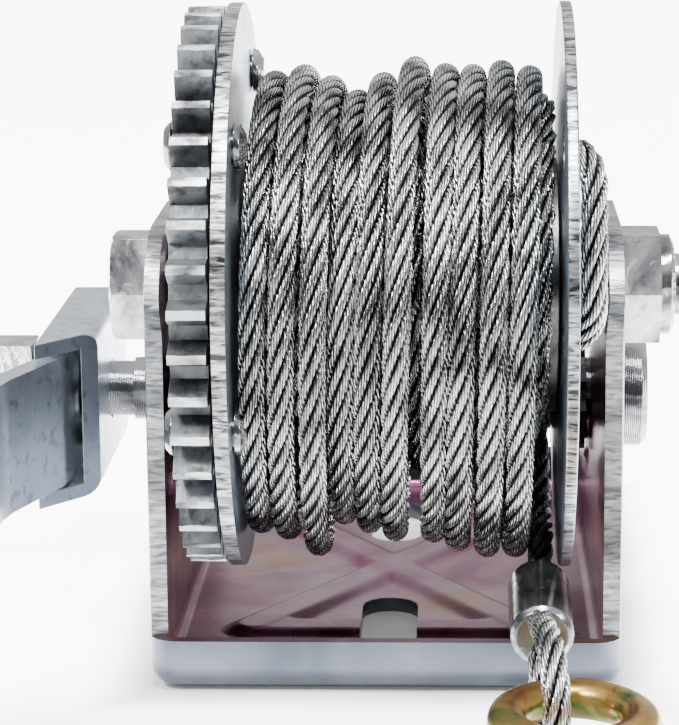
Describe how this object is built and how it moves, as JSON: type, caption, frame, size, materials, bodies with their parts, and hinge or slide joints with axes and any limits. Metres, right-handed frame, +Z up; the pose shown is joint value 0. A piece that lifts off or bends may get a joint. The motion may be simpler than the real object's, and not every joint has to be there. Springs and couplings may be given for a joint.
{
  "type": "boat trailer winch",
  "caption": "Hand-cranked geared winch with a stamped steel frame, a wire rope drum, a two-way pawl and a latched hook, for pulling a boat onto a trailer.",
  "frame": {"origin": "middle of the base's underside", "axes": "+X along the drum's axis towards its nut, +Y towards the back of the base, +Z up from the base"},
  "size_m": [0.2241, 0.2297, 0.1041],
  "materials": {
    "frame": "bright zinc with a bluish cast",
    "drum_sleeve": "turned steel",
    "drum_bolt": "zinc plated",
    "drum_nut": "zinc plated",
    "drum_nut_insert": "nylon",
    "pawl_pin": "zinc plated",
    "rope_tail": "galvanised stranded wire",
    "rope_last_turn": "galvanised stranded wire",
    "rope_ferrule": "pressed sleeve",
    "rope_eye_loop": "galvanised stranded wire",
    "drum_gear": "rough zinc plated",
    "drum_flange_left": "pale blue zinc",
    "drum_flange_right": "pale blue zinc",
    "drum_barrel": "plain steel",
    "rope_winding": "galvanised stranded wire",
    "rope_anchor_loop": "galvanised stranded wire",
    "pinion_shaft": "zinc plated",
    "pinion_gear": "plain steel",
    "ratchet_wheel": "blackened",
    "shaft_spacer": "plain steel",
    "hub_channel": "zinc plated",
    "hub_washer": "zinc plated",
    "crank_arm": "zinc plated",
    "crank_washer": "zinc plated",
    "crank_spring_washer": "plain spring steel",
    "crank_nut": "zinc plated",
    "grip_pin": "zinc plated",
    "grip_washer": "zinc plated",
    "grip": "ribbed rubber",
    "pawl": "blackened",
    "hook": "yellow zinc plated forging",
    "latch_pin": "plain steel",
    "hook_latch": "zinc plated",
    "gear_rivet_1": "zinc plated",
    "gear_rivet_2": "zinc plated",
    "gear_rivet_3": "zinc plated",
    "gear_rivet_4": "zinc plated",
    "gear_rivet_5": "zinc plated"
  },
  "bodies": {
    "frame": {"frame": "frame", "drum_sleeve": "drum_sleeve", "drum_bolt": "drum_bolt", "drum_nut": "drum_nut", "drum_nut_insert": "drum_nut_insert", "pawl_pin": "pawl_pin", "rope_tail": "rope_tail", "rope_last_turn": "rope_last_turn", "rope_ferrule": "rope_ferrule", "rope_eye_loop": "rope_eye_loop"},
    "drum": {"drum_gear": "drum_gear", "drum_flange_left": "drum_flange_left", "drum_flange_right": "drum_flange_right", "drum_barrel": "drum_barrel", "gear_rivet_1": "gear_rivet_1", "gear_rivet_2": "gear_rivet_2", "gear_rivet_3": "gear_rivet_3", "gear_rivet_4": "gear_rivet_4", "gear_rivet_5": "gear_rivet_5", "rope_winding": "rope_winding", "rope_anchor_loop": "rope_anchor_loop"},
    "crank": {"pinion_shaft": "pinion_shaft", "pinion_gear": "pinion_gear", "ratchet_wheel": "ratchet_wheel", "shaft_spacer": "shaft_spacer", "hub_channel": "hub_channel", "hub_washer": "hub_washer", "crank_arm": "crank_arm", "crank_washer": "crank_washer", "crank_spring_washer": "crank_spring_washer", "crank_nut": "crank_nut", "grip_pin": "grip_pin", "grip_washer": "grip_washer"},
    "grip": {"grip": "grip"},
    "pawl": {"pawl": "pawl"},
    "hook": {"hook": "hook", "latch_pin": "latch_pin"},
    "latch": {"hook_latch": "hook_latch"}
  },
  "joints": [
    {"name": "drum_spin", "type": "hinge", "parent": "frame", "child": "drum", "pos_m": [0, -0.037, 0.0597], "axis": [1, 0, 0], "continuous": true},
    {"name": "pinion_spin", "type": "hinge", "parent": "frame", "child": "crank", "pos_m": [0, 0.0076, 0.03295], "axis": [1, 0, 0], "continuous": true},
    {"name": "grip_spin", "type": "hinge", "parent": "crank", "child": "grip", "pos_m": [-0.12, -0.1524, 0.03295], "axis": [1, 0, 0], "continuous": true},
    {"name": "pawl_rock", "type": "hinge", "parent": "frame", "child": "pawl", "pos_m": [0.0314, 0.02958, 0.02175], "axis": [1, 0, 0], "range_deg": [-9.5, 9.5], "stiffness_Nm_per_rad": 0.02},
    {"name": "hook_swing", "type": "hinge", "parent": "frame", "child": "hook", "pos_m": [0.0276, -0.09, 0.009], "axis": [1, 0, 0], "range_deg": [-60, 45]},
    {"name": "latch_spring", "type": "hinge", "parent": "hook", "child": "latch", "pos_m": [0.0286, -0.11992, 0.00685], "axis": [0, -0.0715, 0.9974], "range_deg": [0, 45], "stiffness_Nm_per_rad": 0.02}
  ],
  "couplings": [
    {"joint": "drum_spin", "follows": "pinion_spin", "ratio": -0.2381}
  ]
}
